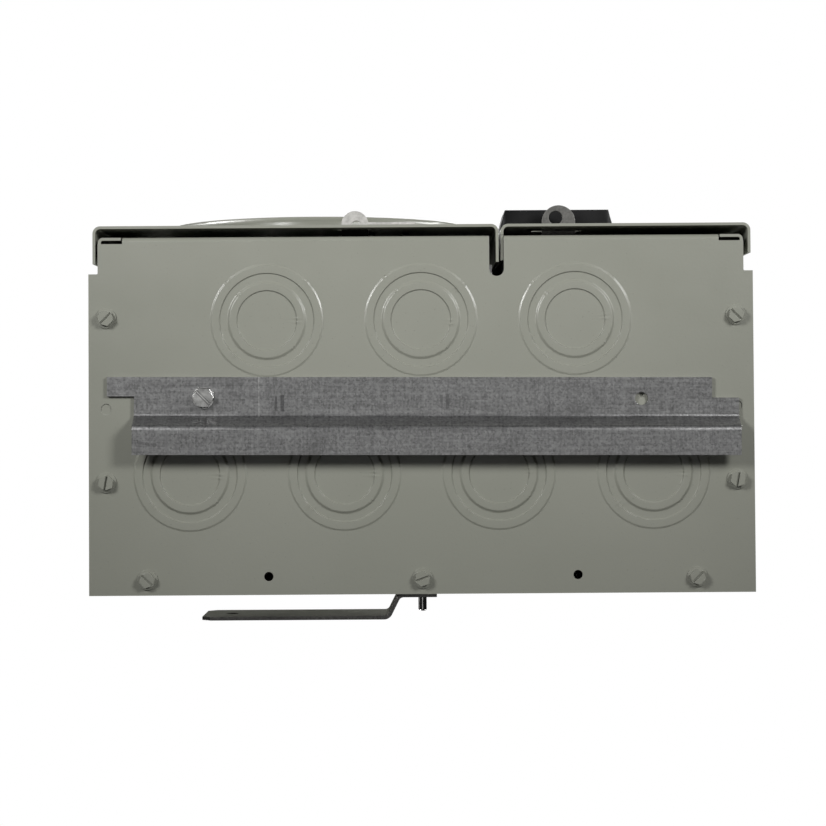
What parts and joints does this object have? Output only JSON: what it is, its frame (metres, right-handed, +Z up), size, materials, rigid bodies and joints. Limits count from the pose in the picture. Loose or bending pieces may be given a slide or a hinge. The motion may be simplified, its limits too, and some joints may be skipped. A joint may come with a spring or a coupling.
{
  "type": "residential load center",
  "caption": "Wall-hung outdoor steel enclosure with a meter socket cover, a hinged breaker door, breakers behind a dead front and conduit knockouts below.",
  "frame": {"origin": "centre of the four wall-mount holes, on the outside of the back", "axes": "+X to the right seen from the front, +Y into the wall, +Z up; the covers face -Y"},
  "size_m": [0.381, 0.2532, 0.7296],
  "materials": {
    "paint": "satin baked enamel, light grey with a green cast",
    "galvanised": "galvanised sheet, faint brushed grain",
    "dark_zinc": "dull dark zinc",
    "zinc": "bright zinc plate",
    "moulding": "moulded insulator",
    "breaker_case": "satin moulding",
    "black_plastic": "fine moulded grain",
    "tinned": "dull tin plate",
    "aluminium": "machined"
  },
  "bodies": {
    "enclosure": {"wrapper": "paint", "bottom_end_wall": "paint", "top_end_wall": "paint", "hub_plate": "paint", "end_wall_screws": "paint", "top_wall_screws": "paint", "mounting_rail": "galvanised", "rail_screw": "zinc", "foot_screw": "zinc", "compartment_barrier": "galvanised", "meter_bracket": "galvanised", "meter_block": "moulding", "meter_jaws": "tinned", "line_lugs": "aluminium", "line_lug_screws": "aluminium", "meter_block_screws": "zinc", "feed_bars": "tinned", "interior_pan": "galvanised", "bus_insulator": "breaker_case", "branch_bus": "tinned", "main_breaker": "breaker_case", "branch_breaker_1": "breaker_case", "branch_breaker_2": "breaker_case", "branch_breaker_3": "breaker_case", "branch_breaker_4": "breaker_case", "branch_breaker_5": "breaker_case", "branch_breaker_6": "breaker_case", "branch_breaker_7": "breaker_case", "branch_breaker_8": "breaker_case", "neutral_bar": "aluminium", "neutral_screws": "zinc", "neutral_standoffs": "breaker_case", "bonding_strap": "tinned", "ground_bar": "aluminium", "ground_screws": "zinc", "dead_front_rails": "galvanised", "dead_front": "paint", "dead_front_screws": "paint", "latch_keeper": "galvanised", "seal_tab": "zinc", "padlock_hasp": "dark_zinc", "frame_hinge_leaves": "galvanised", "hinge_pins": "zinc"},
    "breaker_door": {"door": "paint", "door_hinge_leaves": "galvanised"},
    "door_latch": {"latch_handle": "black_plastic", "latch_bolt": "galvanised"},
    "meter_door": {"meter_cover": "paint", "cover_latch_rivets": "zinc"},
    "seal_latch": {"cover_latch": "zinc"},
    "foot": {"wall_foot": "dark_zinc"},
    "main_toggle": {"main_handle": "black_plastic"},
    "toggle_1": {"branch_handle_1": "black_plastic"},
    "toggle_2": {"branch_handle_2": "black_plastic"},
    "toggle_3": {"branch_handle_3": "black_plastic"},
    "toggle_4": {"branch_handle_4": "black_plastic"},
    "toggle_5": {"branch_handle_5": "black_plastic"},
    "toggle_6": {"branch_handle_6": "black_plastic"},
    "toggle_7": {"branch_handle_7": "black_plastic"},
    "toggle_8": {"branch_handle_8": "black_plastic"}
  },
  "joints": [
    {"name": "door_hinge", "type": "hinge", "parent": "enclosure", "child": "breaker_door", "pos_m": [0.188, -0.1894, 0], "axis": [0, 0, 1], "range_deg": [0, 110]},
    {"name": "latch_slide", "type": "slide", "parent": "breaker_door", "child": "door_latch", "axis": [0, 0, -1], "range_m": [0, 0.01], "stiffness_N_per_m": 150, "springref_m": -0.004},
    {"name": "cover_swing", "type": "hinge", "parent": "enclosure", "child": "meter_door", "pos_m": [0, -0.2117, 0.346], "axis": [-1, 0, 0], "range_deg": [0, 60]},
    {"name": "seal_latch_slide", "type": "slide", "parent": "meter_door", "child": "seal_latch", "axis": [0, 0, 1], "range_m": [0, 0.01]},
    {"name": "foot_swing", "type": "hinge", "parent": "enclosure", "child": "foot", "pos_m": [0, 0.0011, -0.3286], "axis": [0, -1, 0], "range_deg": [0, 90]},
    {"name": "main_toggle_pivot", "type": "hinge", "parent": "enclosure", "child": "main_toggle", "pos_m": [0.117, -0.16, 0.134], "axis": [-1, 0, 0], "range_deg": [0, 36]},
    {"name": "toggle_1_pivot", "type": "hinge", "parent": "enclosure", "child": "toggle_1", "pos_m": [0.11, -0.162, 0.0423], "axis": [0, 0, -1], "range_deg": [0, 36]},
    {"name": "toggle_2_pivot", "type": "hinge", "parent": "enclosure", "child": "toggle_2", "pos_m": [0.11, -0.162, 0.0169], "axis": [0, 0, -1], "range_deg": [0, 36]},
    {"name": "toggle_3_pivot", "type": "hinge", "parent": "enclosure", "child": "toggle_3", "pos_m": [0.11, -0.162, -0.0085], "axis": [0, 0, -1], "range_deg": [0, 36]},
    {"name": "toggle_4_pivot", "type": "hinge", "parent": "enclosure", "child": "toggle_4", "pos_m": [0.11, -0.162, -0.0339], "axis": [0, 0, -1], "range_deg": [0, 36]},
    {"name": "toggle_5_pivot", "type": "hinge", "parent": "enclosure", "child": "toggle_5", "pos_m": [0.11, -0.162, -0.0593], "axis": [0, 0, -1], "range_deg": [0, 36]},
    {"name": "toggle_6_pivot", "type": "hinge", "parent": "enclosure", "child": "toggle_6", "pos_m": [0.11, -0.162, -0.0847], "axis": [0, 0, -1], "range_deg": [0, 36]},
    {"name": "toggle_7_pivot", "type": "hinge", "parent": "enclosure", "child": "toggle_7", "pos_m": [0.11, -0.162, -0.1101], "axis": [0, 0, -1], "range_deg": [0, 36]},
    {"name": "toggle_8_pivot", "type": "hinge", "parent": "enclosure", "child": "toggle_8", "pos_m": [0.11, -0.162, -0.1355], "axis": [0, 0, -1], "range_deg": [0, 36]}
  ]
}
